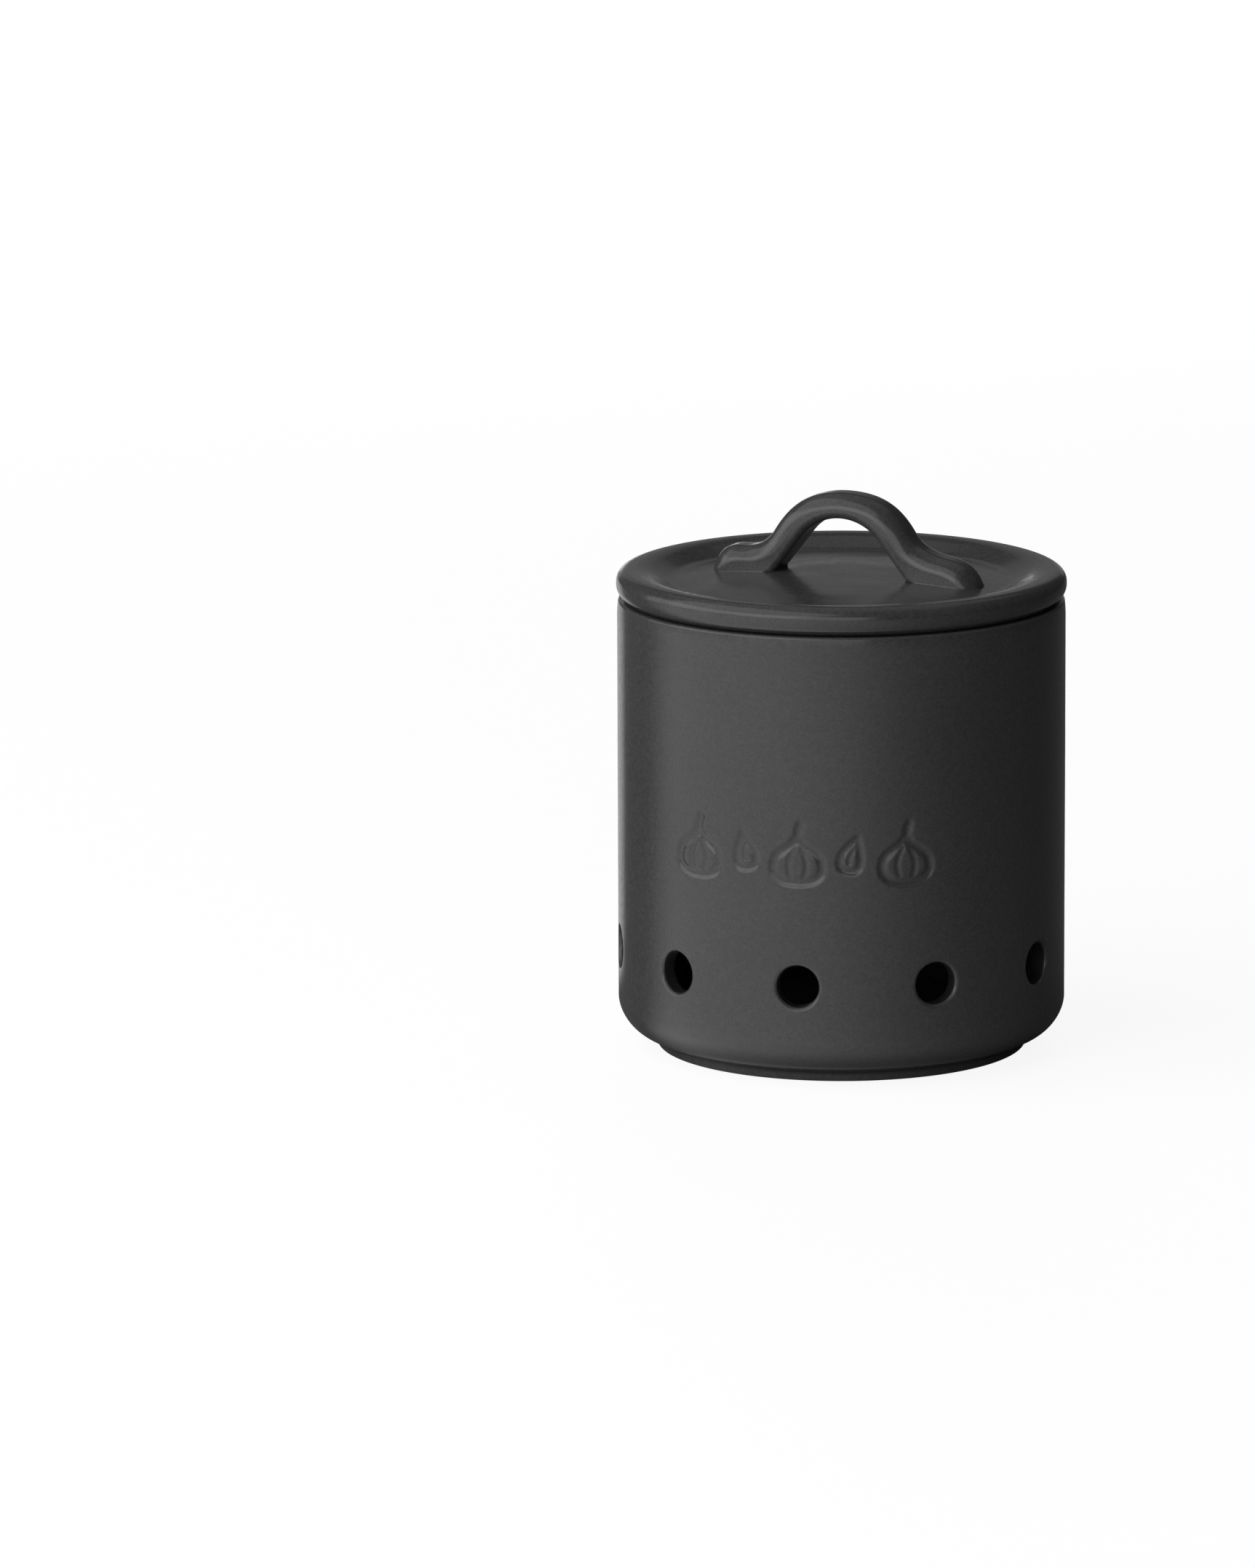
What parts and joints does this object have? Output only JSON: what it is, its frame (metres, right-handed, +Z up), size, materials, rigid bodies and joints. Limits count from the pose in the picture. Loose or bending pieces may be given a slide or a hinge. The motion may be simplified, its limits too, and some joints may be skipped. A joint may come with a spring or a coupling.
{
  "type": "garlic keeper",
  "caption": "Stoneware garlic keeper: a round vented jar on a foot ring, with a lift-off dished lid and a loop handle on top.",
  "frame": {"origin": "on the jar's axis, at the surface it stands on, under the middle of its foot ring", "axes": "+Z up along the jar's axis; -Y is the front, with one vent in its middle; the handle's loop runs along X, turned by 10.3 degrees"},
  "size_m": [0.1256, 0.1256, 0.1567],
  "materials": {
    "charcoal_glaze": "satin charcoal glaze on stoneware, with a fine speckle"
  },
  "bodies": {
    "jar": {"jar_body": "charcoal_glaze"},
    "lid": {"lid_disc": "charcoal_glaze", "lid_handle": "charcoal_glaze"}
  },
  "joints": [
    {"name": "lid_lift", "type": "slide", "parent": "jar", "child": "lid", "axis": [0, 0, 1], "range_m": [0, 0.08]}
  ]
}
